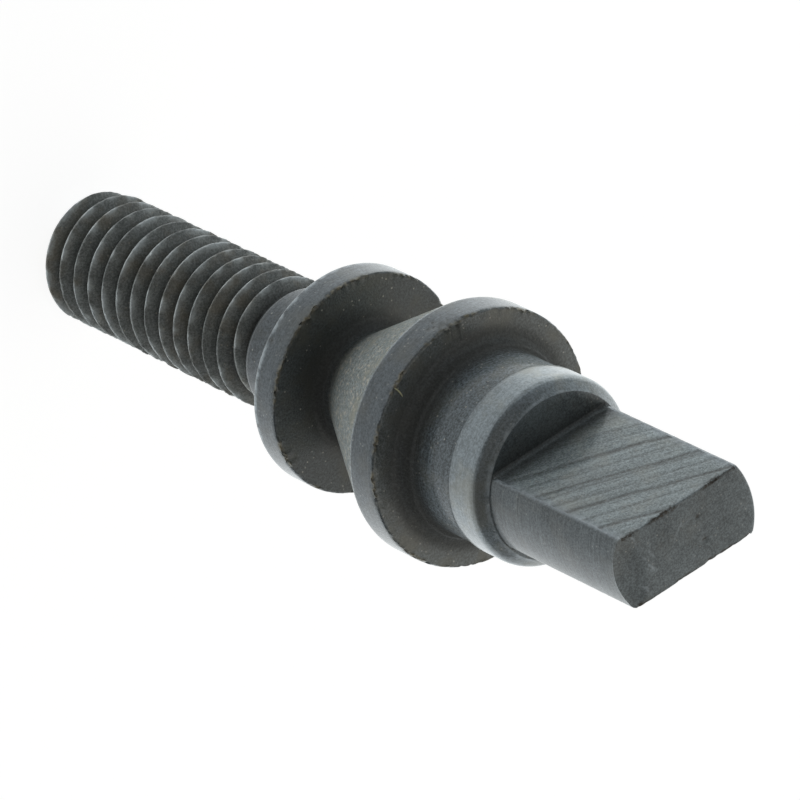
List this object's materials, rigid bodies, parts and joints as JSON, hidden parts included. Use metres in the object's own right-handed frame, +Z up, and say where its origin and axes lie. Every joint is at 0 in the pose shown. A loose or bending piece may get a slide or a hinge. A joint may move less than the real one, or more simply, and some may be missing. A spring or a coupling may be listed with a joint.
{
  "type": "collared screw",
  "caption": "Blackened steel screw with a threaded end, two turned collars with a conical groove between them, and a flat tang that turns or drives it.",
  "frame": {"origin": "middle of the threaded tip, on the screw's axis, where it stands", "axes": "+Z up along the axis, from the threaded tip to the tang; the tang's flats face front (-Y) and back (+Y)"},
  "size_m": [0.011, 0.011, 0.0392],
  "materials": {
    "blackened_steel": "dull black oxide with fine grain"
  },
  "bodies": {
    "root": {"screw": "blackened_steel"}
  },
  "joints": []
}
